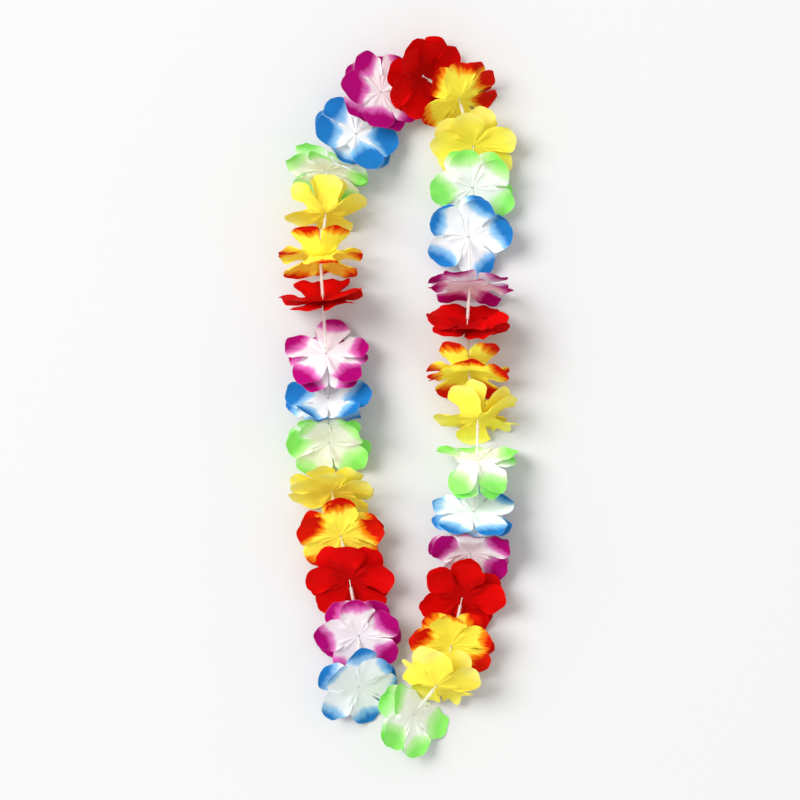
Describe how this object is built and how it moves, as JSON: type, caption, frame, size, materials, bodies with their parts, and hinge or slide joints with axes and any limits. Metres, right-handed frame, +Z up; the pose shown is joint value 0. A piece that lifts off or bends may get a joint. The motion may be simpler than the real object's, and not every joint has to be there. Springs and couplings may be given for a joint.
{
  "type": "flower lei",
  "caption": "Flower lei: two-layer dyed cloth blooms in a repeating colour order with straw spacers, threaded on a knotted string and laid down as a long loop.",
  "frame": {"origin": "on the surface that the lei lies on, under the middle of the laid loop's bounding box", "axes": "+Z up from the surface, +Y along the loop's length towards the end with the round turn, +X towards the right-hand column of blooms seen from above"},
  "size_m": [0.179, 0.5412, 0.0574],
  "materials": {
    "red_cloth": "thin dyed cloth",
    "orange_cloth": "thin cloth, yellow at the middle and red-orange at the tips",
    "yellow_cloth": "thin dyed cloth",
    "green_cloth": "thin cloth, white at the middle and lime at the tips",
    "blue_cloth": "thin cloth, white at the middle and blue at the tips",
    "magenta_cloth": "thin cloth, white at the middle and magenta at the tips",
    "straw": "smooth, milky",
    "string": "twisted thread"
  },
  "bodies": {
    "root": {"bloom_01_red": "red_cloth", "bloom_02_orange": "orange_cloth", "bloom_03_yellow": "yellow_cloth", "bloom_04_green": "green_cloth", "bloom_05_blue": "blue_cloth", "bloom_06_magenta": "magenta_cloth", "bloom_07_red": "red_cloth", "bloom_08_orange": "orange_cloth", "bloom_09_yellow": "yellow_cloth", "bloom_10_green": "green_cloth", "bloom_11_blue": "blue_cloth", "bloom_12_magenta": "magenta_cloth", "bloom_13_red": "red_cloth", "bloom_14_orange": "orange_cloth", "bloom_15_yellow": "yellow_cloth", "bloom_16_green": "green_cloth", "bloom_17_blue": "blue_cloth", "bloom_18_magenta": "magenta_cloth", "bloom_19_red": "red_cloth", "bloom_20_orange": "orange_cloth", "bloom_21_yellow": "yellow_cloth", "bloom_22_green": "green_cloth", "bloom_23_blue": "blue_cloth", "bloom_24_magenta": "magenta_cloth", "bloom_25_red": "red_cloth", "bloom_26_orange": "orange_cloth", "bloom_27_yellow": "yellow_cloth", "bloom_28_green": "green_cloth", "bloom_29_blue": "blue_cloth", "bloom_30_magenta": "magenta_cloth", "spacer_01": "straw", "spacer_02": "straw", "spacer_03": "straw", "spacer_04": "straw", "spacer_05": "straw", "spacer_06": "straw", "spacer_07": "straw", "spacer_08": "straw", "spacer_09": "straw", "spacer_10": "straw", "spacer_11": "straw", "spacer_12": "straw", "spacer_13": "straw", "spacer_14": "straw", "spacer_15": "straw", "spacer_17": "straw", "spacer_18": "straw", "spacer_19": "straw", "spacer_20": "straw", "spacer_21": "straw", "spacer_22": "straw", "spacer_23": "straw", "spacer_24": "straw", "spacer_25": "straw", "spacer_26": "straw", "spacer_27": "straw", "spacer_28": "straw", "spacer_29": "straw", "spacer_30": "straw", "string": "string"}
  },
  "joints": []
}
